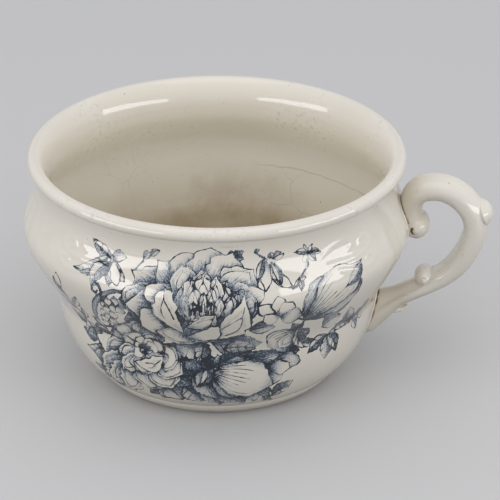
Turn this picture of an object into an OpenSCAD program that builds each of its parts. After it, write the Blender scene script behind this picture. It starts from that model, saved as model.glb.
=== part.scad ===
// Chamber pot: a round-shouldered bowl on a foot ring, with a rolled rim and a scrolled
// loop handle. The handle stands along +X, and the base rests on the plane z = 0.

/* [Rim] */
// Diameter over the rolled rim
rim_d = 230; // [200:1:260]
// Radius of the roll's round section
roll_r = 4.4; // [3.6:0.1:5.4]
// Depth of the flat on the roll where it sits on the neck
roll_seat = 0.3; // [0.1:0.05:0.8]

/* [Bowl] */
// Distance from the rim's outer edge in to the neck
neck_inset = 5.7; // [5:0.1:8]
// Swell of the shoulder past the rim's outer edge
shoulder_swell = 3.4; // [1:0.1:8]
// Distance from the rim's outer edge in to the waist
waist_inset = 15.8; // [12:0.1:22]
// Diameter of the bowl where it sits on the foot ring
seat_d = 158; // [146:1:164]
// Height from the foot ring to the waist
belly_h = 44.5; // [38:0.5:55]
// Height from the waist to the widest part of the shoulder
swell_h = 43.5; // [38:0.5:55]
// Height from the widest part of the shoulder to the neck
shoulder_h = 30; // [26:0.5:36]
// Height from the neck to the rim
neck_h = 8.7; // [7:0.1:14]
// Flare of the neck where it meets the rim
neck_flare = 0.9; // [0.4:0.1:1.5]
// Thickness of the wall
wall = 5; // [4:0.1:6]
// Thickness of the wall at the neck, where the inside is narrowest
neck_wall = 7.3; // [6.2:0.1:8.5]
// Thickness of the wall under the rim, where the inside flares
lip_wall = 6.4; // [5.6:0.1:7]
// Thickness of the floor
floor_t = 6; // [5:0.1:9]
// Radius of the level part of the floor
floor_flat_r = 60; // [45:1:66]

/* [Foot] */
// Height of the foot ring
foot_h = 9.5; // [7:0.1:13]
// Inner diameter of the foot ring
foot_bore_d = 117; // [108:1:122]
// Width of the face that the pot rests on
foot_land = 9; // [6:0.1:12]
// Step from the bowl in to the top of the foot ring
foot_step = 0.8; // [0.4:0.1:1.5]
// Radius of the round on the inner edge of the foot ring
foot_round = 2; // [1:0.1:3]

/* [Handle loop] */
// Reach of the handle's centre line past the shoulder
handle_reach = 39.8; // [36:0.1:48]
// Radius of the arch's centre line
arch_r = 25.2; // [23:0.1:27]
// Height of the arch's centre over the widest part of the shoulder
arch_lift = 1.5; // [-2:0.1:5]
// Thickness of the handle where it rises from the scroll
leg_t = 14; // [12:0.1:17]
// Thickness of the handle on the arch
arch_t = 16; // [13:0.1:18]
// Thickness of the handle at its outermost side
side_t = 14.5; // [12:0.1:16]
// Thickness of the lower strap
strap_t = 11.6; // [9.5:0.1:13]
// Thickness where the lower strap spreads on to the bowl
root_t = 24; // [20:0.1:30]
// Width of the handle on the arch
arch_w = 22.5; // [18:0.1:26]
// Width of the lower strap
strap_w = 19.5; // [16:0.1:24]
// Width where the lower strap spreads on to the bowl
root_w = 25; // [20:0.1:30]
// Depth of the lower joint below the waist
root_drop = 17.5; // [14:0.5:22]

/* [Handle ornament] */
// Radius of the scroll at the upper end
scroll_r = 7.2; // [6:0.1:8]
// Width of the scroll
scroll_w = 23.4; // [20:0.1:26]
// Distance from the shoulder out to the scroll's centre
scroll_out = 4.6; // [4:0.1:6]
// Height of the scroll's centre over the widest part of the shoulder
scroll_lift = 2.2; // [0:0.1:4]
// Radius of the button on the outside of the arch
knop_r = 8.3; // [7:0.1:9.5]
// Height of the button over the handle's surface
knop_proud = 3.8; // [3:0.1:5]
// Angle of the button up from the arch's centre
knop_angle = 22; // [10:1:32]
// Radius of the curl on the inside of the lower strap
curl_r = 5.8; // [5:0.1:6.5]
// Width of the curl
curl_w = 17; // [14:0.1:19]
// Place of the curl along the lower strap, from 0 at the arch to 1 at the bowl
curl_at = 0.49; // [0.45:0.01:0.53]
// Radius of the leaf tip under the lower strap
tip_r = 3.5; // [2.8:0.1:4.5]
// Width of the leaf tip
tip_w = 14; // [11:0.1:17]
// Place of the leaf tip along the lower strap
tip_at = 0.745; // [0.71:0.01:0.77]

/* [Joints] */
// Thickness of the slip that joins the handle to the bowl
slip_t = 1; // [0.6:0.1:1.5]
// Spread of the slip round the handle's ends
slip_spread = 0.8; // [0.4:0.1:1.2]

/* [Hidden] */

cream = "#efe9dc";
cream_shade = "#e3dac8";
slip_colour = "#c9b79b";

// Steps along each curve of the bowl's section, and round its rolled and rounded edges
curve_steps = 10;
round_steps = 8;
// Steps along the three stretches of the handle, and round half of its section
leg_steps = 8;
arch_steps = 16;
strap_steps = 22;
half_steps = 12;
$fn = 96;

// Radii and levels of the bowl's section
rim_r = rim_d / 2;
neck_r = rim_r - neck_inset;
swell_r = rim_r + shoulder_swell;
waist_r = rim_r - waist_inset;
seat_r = seat_d / 2;
bore_r = foot_bore_d / 2;
waist_z = foot_h + belly_h;
swell_z = waist_z + swell_h;
neck_z = swell_z + shoulder_h;
lip_z = neck_z + neck_h;
lip_r = neck_r + neck_flare;
floor_z = foot_h + floor_t;
roll_c = [rim_r - roll_r, lip_z + roll_r - roll_seat];

// Fullness of each curve: how far its handles run towards the next point
belly_run = [10, 7.5];
belly_lean = [2, 22];
swell_run = [0.9, 10];
swell_rise = 13.5;
shoulder_fall = 8;
neck_fall = 11;
neck_run = 3.5;
lip_lean = [0.4, 2];
flare_lean = [1.4, 3.6];
heel_run = 24;
crown_run = 3.4;

function bezier(a, b, c, d, t) =
    a * pow(1 - t, 3) + 3 * b * t * pow(1 - t, 2) + 3 * c * t * t * (1 - t) + d * pow(t, 3);
function curve(a, b, c, d, steps) = [for (i = [0 : steps - 1]) bezier(a, b, c, d, i / steps)];
function ease(t) = let (k = min(1, max(0, t))) k * k * (3 - 2 * k);
function blend(a, b, t) = a + (b - a) * ease(t);

// The bowl's outside from the foot ring's seat up to the rim, set out by grow
function bowl_outside(grow) =
    let (
        seat = [seat_r + grow, foot_h],
        waist = [waist_r + grow, waist_z],
        swell = [swell_r + grow, swell_z],
        neck = [neck_r + grow, neck_z],
        lip = [lip_r + grow, lip_z]
    )
    concat(
        curve(seat, seat + belly_run, waist - belly_lean, waist, curve_steps),
        curve(waist, waist + swell_run, swell - [0, swell_rise], swell, curve_steps),
        curve(swell, swell + [0, shoulder_fall], neck - [0, neck_fall], neck, curve_steps),
        curve(neck, neck + [0, neck_run], lip - lip_lean, lip, curve_steps),
        [lip]
    );

// The bowl's inside from the rim down to the middle of the floor
function bowl_inside() =
    let (
        lip = [lip_r - lip_wall, lip_z],
        neck = [neck_r - neck_wall, neck_z],
        swell = [swell_r - wall, swell_z],
        waist = [waist_r - wall, waist_z],
        heel = [floor_flat_r, floor_z]
    )
    concat(
        curve(lip, lip - flare_lean, neck + [0, neck_run], neck, curve_steps),
        curve(neck, neck - [0, neck_fall], swell + [0, shoulder_fall], swell, curve_steps),
        curve(swell, swell - [0, swell_rise], waist + swell_run, waist, curve_steps),
        curve(waist, waist - belly_lean, heel + [heel_run, 0], heel, curve_steps),
        [heel, [0, floor_z]]
    );

module bowl() {
    color(cream)
        rotate_extrude()
            polygon(concat([[0, foot_h]], bowl_outside(0), bowl_inside()));
}

// The roll's section: a flat seat on the neck, most of a circle, and a lip that runs in to it
module rolled_rim() {
    seat_half = sqrt(roll_r * roll_r - pow(roll_r - roll_seat, 2));
    seat_angle = -acos(seat_half / roll_r);
    inner = [lip_r - lip_wall, lip_z];
    crown = roll_c + [0, roll_r];
    color(cream)
        rotate_extrude()
            polygon(concat(
                [for (i = [0 : round_steps * 2 - 1])
                    let (a = seat_angle + (90 - seat_angle) * i / (round_steps * 2))
                    roll_c + roll_r * [cos(a), sin(a)]],
                curve(crown, crown - [crown_run, 0], inner + flare_lean, inner, round_steps),
                [inner]
            ));
}

module foot_ring() {
    base = [bore_r + foot_round + foot_land, 0];
    top = [seat_r - foot_step, foot_h];
    toe_run = [3, 1.2];
    top_lean = [0.4, 3.9];
    color(cream_shade)
        rotate_extrude()
            polygon(concat(
                curve(base, base + toe_run, top - top_lean, top, curve_steps),
                [top, [bore_r, foot_h]],
                [for (i = [0 : round_steps])
                    let (a = 180 + 90 * i / round_steps)
                    [bore_r + foot_round, foot_round] + foot_round * [cos(a), sin(a)]]
            ));
}

// Centre line of the handle in the X-Z plane: up from the scroll, over the arch, down the strap
arch_from = 97;
arch_to = -15;
arch_c = [swell_r + handle_reach - arch_r, swell_z + arch_lift];
scroll_c = [swell_r + scroll_out, swell_z + scroll_lift];
leg_inset = 3.3;
leg_run = [-3.5, 15];
leg_join = 10;
strap_run = 40;
strap_bend = [25, 25.5];
root_depth = 6.2;
root_c = [waist_r - root_depth, waist_z - root_drop];

function on_arch(a) = arch_c + arch_r * [cos(a), sin(a)];
function arch_way(a) = [sin(a), -cos(a)];
function on_leg(t) =
    let (start = scroll_c - [leg_inset, 0], end = on_arch(arch_from))
    bezier(start, start + leg_run, end - leg_join * arch_way(arch_from), end, t);
function on_strap(t) =
    let (start = on_arch(arch_to))
    bezier(start, start + strap_run * arch_way(arch_to), root_c + strap_bend, root_c, t);

// Thickness and width along the strap, which is slimmest in its middle
slim_at = 0.55;
spread_from = 0.72;
function strap_size(side, slim, root, t) =
    t < slim_at ? blend(side, slim, t / slim_at) : blend(slim, root, (t - spread_from) / (1 - spread_from));
function strap_thick(t) = strap_size(side_t, strap_t, root_t, t);
function strap_wide(t) = strap_size(arch_w, strap_w, root_w, t);

// Stations along the handle: [x, z, thickness, width]
leg_stations = [for (i = [0 : leg_steps - 1])
    let (t = i / leg_steps, p = on_leg(t))
    [p.x, p.y, blend(leg_t, arch_t, t), arch_w]];
arch_stations = [for (i = [0 : arch_steps - 1])
    let (p = on_arch(arch_from + (arch_to - arch_from) * i / arch_steps))
    [p.x, p.y, blend(arch_t, side_t, i / arch_steps), arch_w]];
strap_stations = [for (i = [0 : strap_steps])
    let (t = i / strap_steps, p = on_strap(t))
    [p.x, p.y, strap_thick(t), strap_wide(t)]];
stations = concat(leg_stations, arch_stations, strap_stations);

function along(list, i) =
    let (
        a = list[max(0, i - 1)],
        b = list[min(len(list) - 1, i + 1)],
        d = [b[0] - a[0], b[1] - a[1]]
    )
    d / norm(d);

// One half of a swept loop: half ovals set square to the centre line, flat on the plane y = 0
module half_sweep(list, side, grow) {
    count = half_steps + 1;
    last = len(list) - 1;
    points = [for (i = [0 : last])
        let (d = along(list, i), out = [-d[1], d[0]])
        for (j = [0 : half_steps])
            let (
                a = -90 + 180 * j / half_steps,
                reach = (list[i][2] / 2 + grow) * sin(a),
                y = side * (list[i][3] / 2 + grow) * (j == 0 || j == half_steps ? 0 : cos(a))
            )
            [list[i][0] + out[0] * reach, y, list[i][1] + out[1] * reach]];
    skin = [for (i = [0 : last - 1], j = [0 : half_steps - 1])
        let (a = i * count + j)
        each [[a, a + 1, a + count + 1], [a, a + count + 1, a + count]]];
    flat = [for (i = [0 : last - 1])
        let (a = i * count)
        each [[a + half_steps, a, a + count], [a + half_steps, a + count, a + count + half_steps]]];
    ends = [[for (j = [half_steps : -1 : 0]) j], [for (j = [0 : half_steps]) last * count + j]];
    faces = concat(skin, flat, ends);
    polyhedron(points, side < 0 ? faces : [for (f = faces) [for (k = [len(f) - 1 : -1 : 0]) f[k]]]);
}

// The bowl filled solid, set out by grow, which trims what is joined to its outside
module bowl_core(grow) {
    rotate_extrude()
        polygon(concat([[0, foot_h]], bowl_outside(grow), [[0, lip_z]]));
}

// A roll that lies across the handle, with rounded ends
module roll(centre, radius, width, edge) {
    translate([centre.x, 0, centre.y])
        rotate([90, 0, 0])
            rotate_extrude()
                polygon(concat(
                    [[0, -width / 2]],
                    [for (i = [0 : round_steps])
                        let (a = -90 + 90 * i / round_steps)
                        [radius - edge + edge * cos(a), edge - width / 2 + edge * sin(a)]],
                    [for (i = [0 : round_steps])
                        let (a = 90 * i / round_steps)
                        [radius - edge + edge * cos(a), width / 2 - edge + edge * sin(a)]],
                    [[0, width / 2]]
                ));
}

scroll_edge = 5;
curl_edge = 3.5;
tip_edge = 2.6;
knop_depth = 6;

module scroll_roll(grow) {
    roll(scroll_c, scroll_r + grow, scroll_w + 2 * grow, scroll_edge);
}

// Point on the strap's skin: side +1 is the outside of the loop, -1 the inside
function strap_skin(t, side) =
    let (
        step = 0.01,
        a = on_strap(t - step),
        b = on_strap(t + step),
        d = (b - a) / norm(b - a)
    )
    on_strap(t) + side * strap_thick(t) / 2 * [-d[1], d[0]];

module curl_roll() {
    roll(strap_skin(curl_at, -1), curl_r, curl_w, curl_edge);
}

module tip_roll() {
    roll(strap_skin(tip_at, 1), tip_r, tip_w, tip_edge);
}

// A domed button that stands out from the arch
module knop_button() {
    skin = arch_c + (arch_r + side_t / 2) * [cos(knop_angle), sin(knop_angle)];
    translate([skin.x, 0, skin.y])
        rotate([0, 90 - knop_angle, 0])
            rotate_extrude()
                polygon(concat(
                    [[0, -knop_depth], [knop_r, -knop_depth]],
                    [for (i = [0 : round_steps])
                        let (a = 90 * i / round_steps)
                        [knop_r * cos(a), knop_proud * sin(a)]]
                ));
}

module handle_half(side) {
    color(cream)
        difference() {
            half_sweep(stations, side, 0);
            bowl_core(slip_t);
            scroll_roll(0);
            curl_roll();
            tip_roll();
            knop_button();
        }
}

module handle_front_half() {
    handle_half(-1);
}

module handle_back_half() {
    handle_half(1);
}

module upper_scroll() {
    color(cream)
        difference() {
            scroll_roll(0);
            bowl_core(slip_t);
        }
}

module shoulder_knop() {
    color(cream)
        knop_button();
}

module inner_curl() {
    color(cream)
        curl_roll();
}

module leaf_tip() {
    color(cream)
        tip_roll();
}

// Slip between the bowl and what is joined to it: the layer on the bowl under a spread-out foot
module slip_layer() {
    color(slip_colour)
        intersection() {
            children();
            difference() {
                bowl_core(slip_t);
                bowl_core(0);
            }
        }
}

module upper_slip_joint() {
    slip_layer()
        union() {
            half_sweep(leg_stations, -1, slip_spread);
            half_sweep(leg_stations, 1, slip_spread);
            scroll_roll(slip_spread);
        }
}

module lower_slip_joint() {
    slip_layer()
        union() {
            half_sweep(strap_stations, -1, slip_spread);
            half_sweep(strap_stations, 1, slip_spread);
        }
}

bowl();
rolled_rim();
foot_ring();
handle_front_half();
handle_back_half();
upper_scroll();
shoulder_knop();
inner_curl();
leaf_tip();
upper_slip_joint();
lower_slip_joint();
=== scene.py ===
import bpy
import numpy as np
from mathutils import Matrix


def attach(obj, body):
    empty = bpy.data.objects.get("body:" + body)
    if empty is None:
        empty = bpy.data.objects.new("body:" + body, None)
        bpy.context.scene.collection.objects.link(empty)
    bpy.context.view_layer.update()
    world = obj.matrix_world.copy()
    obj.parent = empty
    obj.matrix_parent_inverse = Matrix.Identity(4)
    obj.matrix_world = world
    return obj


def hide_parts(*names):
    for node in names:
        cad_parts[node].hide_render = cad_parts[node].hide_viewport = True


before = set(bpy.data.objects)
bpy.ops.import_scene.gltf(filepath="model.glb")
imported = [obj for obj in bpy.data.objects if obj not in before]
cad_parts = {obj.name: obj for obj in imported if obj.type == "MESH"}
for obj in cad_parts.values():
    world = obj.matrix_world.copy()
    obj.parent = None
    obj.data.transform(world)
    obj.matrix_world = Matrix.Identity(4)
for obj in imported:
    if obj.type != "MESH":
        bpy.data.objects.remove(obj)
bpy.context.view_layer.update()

# The bowl: an earthenware body pressed in a mould, wide at the shoulder and drawn in at the neck,
# dipped in cream glaze. A spray of flowers is printed in blue-black ink under the glaze on its front,
# and a smaller sprig on its back.
MM = 0.001
wall = 5.0
seat, waist, swell, neck, lip = (np.array(p) for p in (
    (79.0, 9.5), (99.2, 54.0), (118.4, 97.5), (109.3, 127.5), (110.2, 136.2)))
heel = np.array([60.0, 15.5])
belly_run, belly_lean = np.array([10.0, 7.5]), np.array([2.0, 22.0])
swell_run, swell_rise = np.array([0.9, 10.0]), np.array([0.0, 13.5])
shoulder_fall, neck_fall = np.array([0.0, 8.0]), np.array([0.0, 11.0])
neck_run, lip_lean = np.array([0.0, 3.5]), np.array([0.4, 2.0])
heel_run = np.array([24.0, 0.0])
inward = np.array([wall, 0.0])
neck_in, lip_in, flare = np.array([102.0, 127.5]), np.array([103.8, 136.2]), np.array([1.4, 3.6])
# The print's middle and ends in degrees round the bowl, the radius that its flat sheet is measured at,
# the mesh's widest step in degrees, and the line values of a place with no line near it.
FRONT, FRONT_ENDS = 276.0, (213.0, 345.0)
BACK, BACK_ENDS = 96.0, (66.0, 126.0)
SHEET_R = 108.0
CELL = 1.5
NO_LINE = (9.0, 9.0, 0.0)


def bezier(a, b, c, d, count):
    """Points of a cubic curve: a(1-t)^3 + 3b t(1-t)^2 + 3c t^2(1-t) + d t^3, for t from 0 to 1."""
    t = np.linspace(0.0, 1.0, count)[:, None]
    return a * (1 - t) ** 3 + 3 * b * t * (1 - t) ** 2 + 3 * c * t * t * (1 - t) + d * t ** 3


def joined(*curves):
    """Curves end to end, each without its last point, which starts the next one."""
    return np.concatenate([c[:-1] for c in curves[:-1]] + [curves[-1]])


def evenly(path, at):
    """Points of a path at the given distances along it."""
    run = np.r_[0.0, np.cumsum(np.hypot(*np.diff(path, axis=0).T))]
    return np.stack([np.interp(at, run, path[:, k]) for k in (0, 1)], 1)


def turned(section, angles):
    """A section (radius, height) turned about the upright axis: x = r cos a, y = r sin a, z = height."""
    r, z = section[:, :1], section[:, 1:]
    a = np.radians(angles)[None, :]
    return np.stack([r * np.cos(a), r * np.sin(a), z + 0 * a], 2)


def rings(first, rows, count, round_again=False):
    """Faces between the rows of a closed grid that starts at vertex number first, and from its last row
    back to its first where the grid goes round again."""
    grid = first + np.arange(rows * count).reshape(rows, count)
    grid = np.c_[grid, grid[:, :1]]
    if round_again:
        grid = np.r_[grid, grid[:1]]
    quads = np.stack([grid[:-1, :-1], grid[:-1, 1:], grid[1:, 1:], grid[1:, :-1]], 2)
    return list(quads.reshape(-1, 4))


def fan(ring, tip):
    """Faces from each side of a ring of vertices to one point."""
    return list(np.stack([ring, np.roll(ring, -1), np.full(len(ring), tip)], 1))


def flipped(faces):
    """The same faces, seen from their other side."""
    return [face[::-1] for face in faces]


def lay_mesh(name, points, faces, crease=50.0):
    """A smooth mesh object from points in millimetres and faces of any number of corners,
    with a sharp edge wherever two faces meet at more than the crease angle."""
    mesh = bpy.data.meshes.new(name)
    sizes = np.array([len(f) for f in faces])
    corners = np.concatenate(faces).astype(np.int32)
    mesh.vertices.add(len(points))
    mesh.vertices.foreach_set("co", (np.asarray(points) * MM).astype(np.float32).ravel())
    mesh.loops.add(len(corners))
    mesh.loops.foreach_set("vertex_index", corners)
    mesh.polygons.add(len(faces))
    mesh.polygons.foreach_set("loop_start", np.r_[0, np.cumsum(sizes)[:-1]].astype(np.int32))
    mesh.update(calc_edges=True)
    mesh.validate()
    mesh.shade_smooth()
    mesh.set_sharp_from_angle(angle=np.radians(crease))
    piece = bpy.data.objects.new(name, mesh)
    bpy.context.scene.collection.objects.link(piece)
    return piece


def hold(mesh, name, kind, values):
    """Keeps one value, or one set of three, for each vertex of a mesh."""
    field = mesh.attributes.new(name, kind, "POINT")
    key = "vector" if kind == "FLOAT_VECTOR" else "value"
    field.data.foreach_set(key, np.asarray(values, np.float32).ravel())


outside = joined(
    bezier(seat, seat + belly_run, waist - belly_lean, waist, 160),
    bezier(waist, waist + swell_run, swell - swell_rise, swell, 160),
    bezier(swell, swell + shoulder_fall, neck - neck_fall, neck, 160),
    bezier(neck, neck + neck_run, lip - lip_lean, lip, 80))
inside = joined(
    bezier(lip_in, lip_in - 1.25 * flare, neck_in + 0.46 * neck_run, neck_in, 24),
    bezier(neck_in, neck_in - neck_fall, swell - inward + shoulder_fall, swell - inward, 15),
    bezier(swell - inward, swell - inward - swell_rise, waist - inward + swell_run, waist - inward, 11),
    bezier(waist - inward, waist - inward - belly_lean, heel + heel_run, heel, 14))
bowl_rise = np.hypot(*np.diff(outside, axis=0).T).sum()
rows_up = np.r_[0.0, 1.0, 3.0, 6.0, np.arange(9.0, 131.5, 0.88), 132.5, 134.0, 135.5, 137.0, 138.0,
                bowl_rise]
cells = np.arange(0.0, 360.0, CELL)
fine, fairly_fine = ((cells >= low) & (cells < high) for low, high in (FRONT_ENDS, BACK_ENDS))
splits = np.where(fine, 4, np.where(fairly_fine, 2, 1))
columns = np.concatenate([a + CELL * np.arange(n) / n for a, n in zip(cells, splits)])


def hump(value, middle, width):
    """A smooth rise to 1 about a middle: exp(-((value - middle) / width)^2)."""
    return np.exp(-((value - middle) / width) ** 2)


def bowl_out(z):
    """Outside radius of the bowl at a height."""
    return np.interp(z, outside[:, 1], outside[:, 0])


def eased_line(points):
    """A smooth line through the points: each stretch is a cubic whose ends lean along the chord past them."""
    p = np.asarray(points, float)
    p = np.concatenate([[2 * p[0] - p[1]], p, [2 * p[-1] - p[-2]]])
    a, b, c, d = p[:-3, None], p[1:-2, None], p[2:-1, None], p[3:, None]
    t = np.linspace(0, 1, 10, endpoint=False)[None, :, None]
    q = 0.5 * (2 * b + (c - a) * t + (2 * a - 5 * b + 4 * c - d) * t ** 2 + (3 * b - a - 3 * c + d) * t ** 3)
    return np.concatenate([q.reshape(-1, 2), p[-2:-1]])


def resample(points, step=0.35):
    """Points at even steps along a line, with their unit sideways directions."""
    run = np.hypot(*np.diff(points, axis=0).T).sum()
    line = evenly(points, np.linspace(0, run, max(3, int(run / step))))
    way = np.gradient(line, axis=0)
    way /= np.maximum(np.hypot(*way.T), 1e-9)[:, None]
    return line, np.stack([-way[:, 1], way[:, 0]], 1)


def pressed(angle, up):
    """Low scrolls pressed in the shoulder on both sides of the print: ridges of
    0.3 exp(-(distance / 1.5)^2)."""
    scrolls = (
        ((66, 113.5), (81, 112.6), (93.9, 113.2), (100.5, 117.3), (95, 122), (90.6, 119.4), (93, 116.8)),
        ((72, 108.4), (84, 105.2), (94.8, 104.4), (100, 107.6), (97, 111), (93.4, 109)),
        ((62, 119.5), (70, 123.5), (80, 124.6), (84.6, 121), (81, 118.4)))
    ridge = np.concatenate([resample(eased_line(points), 0.8)[0] for points in scrolls])
    turn = (angle - FRONT + 180) % 360 - 180
    high = np.zeros((len(up), len(angle)))
    rows = np.flatnonzero((up > 97) & (up < 131))
    for side in (-1, 1):
        u = side * SHEET_R * np.radians(turn)
        cols = np.flatnonzero((u > 55) & (u < 108))
        far = np.full((len(rows), len(cols)), 99.0)
        for x, y in ridge:
            far = np.minimum(far, np.hypot(u[cols][None, :] - x, up[rows][:, None] - y))
        high[np.ix_(rows, cols)] += 0.3 * hump(far, 0, 1.5)
    return high


def relief(angle, up):
    """How far the pressed wall stands out: slow swellings, and low upright flutes on the far side and by the
    handle, in a belt round the shoulder. All of it dies away at the foot and the lip."""
    a = np.radians(angle)
    slow = 0.10 * np.sin(3 * a + 0.03 * up) + 0.09 * np.sin(7 * a - 0.05 * up)
    slow += 0.06 * np.sin(0.16 * up + 5 * a)
    far_side = hump(angle, 180, 24)
    by_handle = hump(np.abs((angle + 180) % 360 - 180), 22, 9)
    belt = np.exp(-((up - 104) / 15.0) ** 4)
    flutes = np.cos(2 * np.pi * (angle + 0.05 * (up - 100)) / 7.5)
    kept = np.clip(up / 12, 0, 1) * np.clip((136 - up) / 8, 0, 1)
    return (slow + 0.52 * (far_side + 0.5 * by_handle) * flutes * belt) * kept


skin = evenly(outside, rows_up)
lean = np.gradient(skin, rows_up, axis=0)
square = np.stack([lean[:, 1], -lean[:, 0]], 1) / np.hypot(*lean.T)[:, None]
grow = (relief(columns[None, :], rows_up[:, None]) + pressed(columns, rows_up))[:, :, None]
floor_up, base_up = 15.4, seat[1]
well = np.array([[45, heel[1]], [30, 15.45], [15, floor_up], [5, floor_up]])
wall_points = turned(skin, columns) + grow * turned(square, columns)
mouth_points = turned(np.concatenate([inside, well]), cells)
under_points = turned(np.array([[r, base_up] for r in (12, 36, 57, 74)]), cells)
grids = [wall_points, mouth_points, under_points]
n_wall, n_mouth, n_under = (grid.shape[0] * grid.shape[1] for grid in grids)
bowl_points = np.concatenate([grid.reshape(-1, 3) for grid in grids] + [[[0, 0, floor_up], [0, 0, base_up]]])
n_cell, n_column, base_ring = len(cells), len(columns), n_wall + n_mouth
bowl_faces = rings(0, len(rows_up), n_column) + rings(n_wall, len(mouth_points), n_cell)
bowl_faces += rings(base_ring, len(under_points), n_cell)
ring = np.arange(n_cell)
bowl_faces += fan(base_ring - n_cell + ring, len(bowl_points) - 2)
bowl_faces += flipped(fan(base_ring + ring, len(bowl_points) - 1))
starts = np.r_[0, np.cumsum(splits)]
top_row, edge_ring = n_wall - n_column, base_ring + n_under - n_cell
for k in range(n_cell):
    n = (k + 1) % n_cell
    arc = np.arange(starts[k], starts[k + 1] + 1) % n_column
    bowl_faces.append(np.r_[top_row + arc, n_wall + n, n_wall + k])
    bowl_faces.append(np.r_[edge_ring + k, edge_ring + n, arc[::-1]])
bowl = lay_mesh("glazed_bowl", bowl_points, bowl_faces)


def to_sheet(item, along, across):
    """A petal's own share along its length and millimetres across it, on the flat sheet of the print:
    its middle line bows sideways by bow * 4 t (1 - t)."""
    ahead = np.array([np.cos(item["aim"]), np.sin(item["aim"])])
    bowed = across + item["bow"] * 4 * along * (1 - along)
    return item["base"] + np.outer(along * item["length"], ahead) + np.outer(bowed, [-ahead[1], ahead[0]])


def from_sheet(item, points):
    """The inverse of to_sheet: share along the petal, and share of its half width across it."""
    ahead = np.array([np.cos(item["aim"]), np.sin(item["aim"])])
    along = (points - item["base"]) @ ahead / item["length"]
    across = (points - item["base"]) @ [-ahead[1], ahead[0]] - item["bow"] * 4 * along * (1 - along)
    return along, across / (0.5 * item["width"])


def petal(seed, u, v, aim, length, width, dark, bow=0.1, lip=None, blunt=0.85):
    """One petal, or a leaf where no lip is given: half its width is width/2 sin(pi t^blunt)^power at the
    share t of its length; a petal's rim is broken by chance at every 2 mm, and a leaf's rim is saw-toothed.
    A petal over 24 mm long with a lip of 0 and a bluntness under 1.36 belongs to a bud."""
    rng = np.random.default_rng(seed)
    t = np.linspace(0.0, 1.0, 49)
    leaf = lip is None
    half = 0.5 * width * np.sin(np.pi * t ** blunt) ** (1.05 if leaf else 0.74 + 0.5 * t ** 4)
    if leaf:
        wave = 0.16 * (1.1 * ((t * length / 3.4 + rng.random((2, 1))) % 1.0) - 0.4)
    else:
        knots = np.linspace(0, 1, max(6, int(length / 2.3)))
        wave = np.stack([np.interp(t, knots, rng.uniform(-1, 1, knots.size)) for _ in (0, 1)])
        wave = wave * min(0.19, 3.0 / width)
    broken = 1 + wave * np.clip(t * 2.0, 0, 1)
    reach = t * (1 + (0.0 if leaf else 0.35) * wave.mean(0) * t ** 2)
    left, right = np.stack([reach, broken[0] * half], 1), np.stack([reach, -broken[1] * half], 1)
    local = np.concatenate([left, right[::-1]])
    item = dict(base=np.array([u, v], float), aim=np.radians(aim), length=length, width=width,
                bow=bow * length, leaf=leaf, dark=dark, lip=lip or 0.0, blunt=blunt, seed=seed, band=False,
                bud=not leaf and not lip and length > 24 and blunt < 1.36)
    item["outline"] = to_sheet(item, local[:, 0], local[:, 1])
    return item


def within(points, outline):
    """Even-odd test: whether each point lies inside a closed outline."""
    a, b = outline, np.roll(outline, -1, 0)
    x, y = points[:, :1], points[:, 1:]
    spans = (a[:, 1] > y) != (b[:, 1] > y)
    slope = (b[:, 0] - a[:, 0]) / np.where(b[:, 1] == a[:, 1], 1e-9, b[:, 1] - a[:, 1])
    return (spans & (x < a[:, 0] + (y - a[:, 1]) * slope)).sum(1) % 2 == 1


def away(points, outline):
    """Distance from each point to the nearest stretch of a closed outline."""
    a, b = outline, np.roll(outline, -1, 0)
    d = b - a
    share = np.clip(((points[:, None] - a) * d).sum(2) / np.maximum((d * d).sum(1), 1e-9), 0, 1)
    return np.sqrt((((points[:, None] - a) - share[..., None] * d) ** 2).sum(2).min(1))


def near(points, outline, margin):
    """The points inside an outline's box, widened by margin."""
    low, high = outline.min(0) - margin, outline.max(0) + margin
    return np.flatnonzero(((points >= low) & (points <= high)).all(1))


def band(seed, width, dark, *points):
    """A stem or scroll: a smooth line through the points, width/2 sin(pi t)^0.5 wide to each side."""
    line, side = resample(eased_line(points), 0.7)
    half = 0.5 * width * np.sin(np.pi * np.linspace(0.02, 0.98, len(line)))[:, None] ** 0.5
    outline = np.concatenate([line + half * side, (line - half * side)[::-1]])
    return dict(outline=outline, leaf=False, dark=dark, lip=0.0, length=8.0, width=width, seed=seed,
                band=True, bud=False)


def alike(head, rows, *tail):
    """Rows that begin and end in the same values."""
    return [(*head, *row, *tail) for row in rows]


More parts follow.
